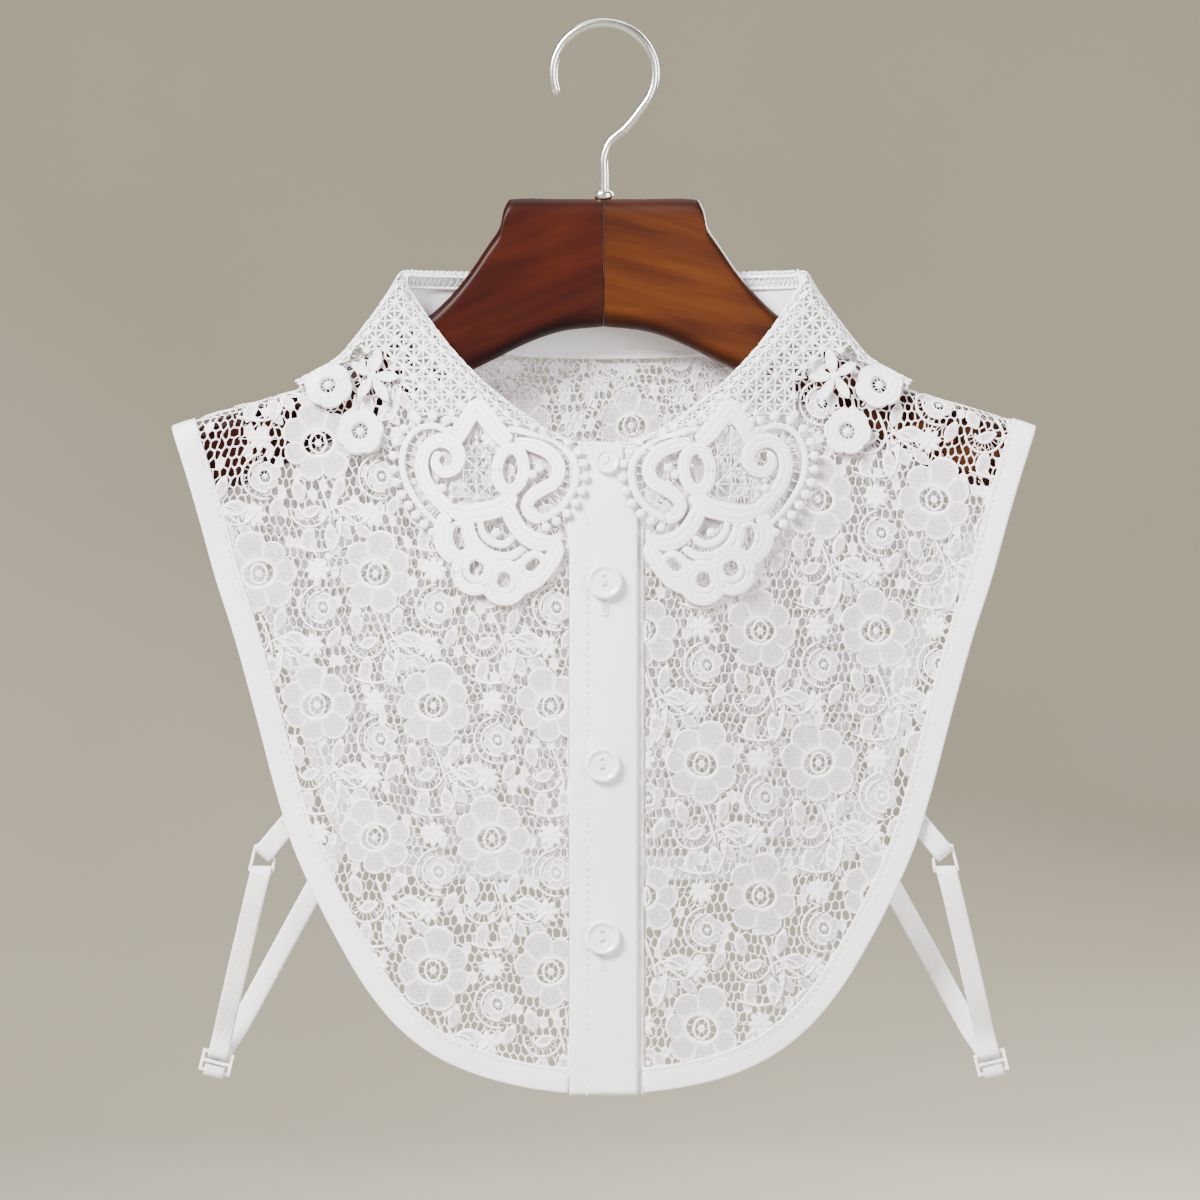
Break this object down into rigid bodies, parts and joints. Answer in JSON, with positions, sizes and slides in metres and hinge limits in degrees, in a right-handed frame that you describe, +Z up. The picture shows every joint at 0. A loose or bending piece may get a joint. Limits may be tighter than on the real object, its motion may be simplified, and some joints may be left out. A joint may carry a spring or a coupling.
{
  "type": "lace false collar on a wooden hanger",
  "caption": "Detachable half shirt of floral lace with a buttoned stand, a corded lace collar leaf and elastic side loops, hung on a contoured wooden hanger with a steel hook",
  "frame": {"origin": "inner top of the hanger's hook, where a rail or peg carries it", "axes": "+Z up against gravity, +X to the viewer's right seen from the front, the front of the garment faces -Y"},
  "size_m": [0.3462, 0.0812, 0.4325],
  "materials": {
    "white_cotton": "matt, closely woven plain cotton with stitch lines",
    "floral_lace": "matt floral net lace with a faint lilac tint",
    "guipure": "matt, heavy corded lace",
    "elastic": "ribbed narrow elastic",
    "white_plastic": "glossy moulded plastic",
    "dark_wood": "varnished reddish brown wood, darker half",
    "light_wood": "varnished reddish brown wood, lighter half",
    "steel": "bright steel wire"
  },
  "bodies": {
    "root": {"back_panel": "floral_lace", "binding_back": "white_cotton", "binding_front_left": "white_cotton", "binding_front_right": "white_cotton", "button_1": "white_plastic", "button_2": "white_plastic", "button_3": "white_plastic", "button_4": "white_plastic", "collar_leaf_back": "guipure", "collar_leaf_left": "guipure", "collar_leaf_right": "guipure", "collar_stand": "white_cotton", "front_panel_left": "floral_lace", "front_panel_right": "floral_lace", "hanger_hook": "steel", "hanger_left": "dark_wood", "hanger_right": "light_wood", "placket": "white_cotton", "strap_back_left": "elastic", "strap_back_right": "elastic", "strap_front_left": "elastic", "strap_front_right": "elastic", "strap_ring_left": "white_plastic", "strap_ring_right": "white_plastic", "strap_slider_left": "white_plastic", "strap_slider_right": "white_plastic", "strap_tab_left": "elastic", "strap_tab_right": "elastic", "under_placket": "white_cotton"}
  },
  "joints": []
}
